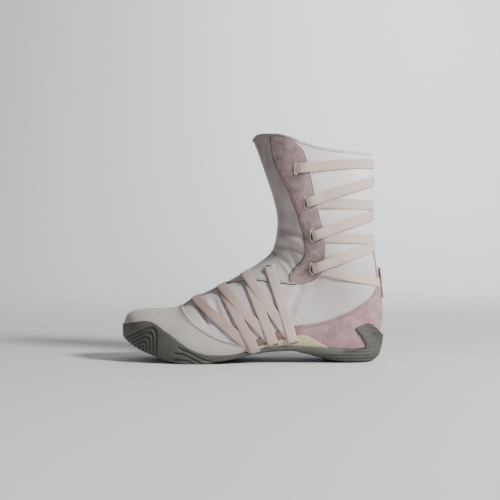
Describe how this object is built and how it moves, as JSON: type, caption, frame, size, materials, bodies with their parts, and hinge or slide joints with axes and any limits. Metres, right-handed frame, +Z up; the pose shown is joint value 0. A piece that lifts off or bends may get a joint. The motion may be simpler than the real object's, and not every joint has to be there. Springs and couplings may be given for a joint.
{
  "type": "boxing boot",
  "caption": "High-top boxing boot with a knit shaft, leather and suede overlays, wide elastic lacing that wraps the shaft, an arch plate and a ribbed rubber cup sole.",
  "frame": {"origin": "middle of the overall box, on the floor plane under the sole", "axes": "+X from toe to heel, +Y to the inner side of the foot, +Z up"},
  "size_m": [0.2664, 0.0905, 0.2292],
  "materials": {
    "fabric": "light grey knit over a pinkish lining",
    "foam": "cloth-covered foam footbed",
    "rubber": "matt dark olive grey rubber, finely ribbed",
    "plate": "cream moulded plastic, satin",
    "binding": "woven binding tape",
    "suede": "dusty pink suede with a short nap",
    "leather": "off-white grained leather, satin",
    "satin": "smooth taupe leather, soft sheen",
    "elastic": "beige woven elastic"
  },
  "bodies": {
    "root": {"upper": "fabric", "insole": "foam", "outsole": "rubber", "arch_plate": "plate", "collar_binding": "binding", "pull_tab": "suede", "toe_cap": "leather", "instep_panel": "leather", "shaft_front": "satin", "eyestay_outer": "suede", "eyestay_inner": "suede", "heel_counter": "suede", "shaft_lace": "elastic", "instep_lace_outer": "elastic", "instep_lace_inner": "elastic"}
  },
  "joints": []
}
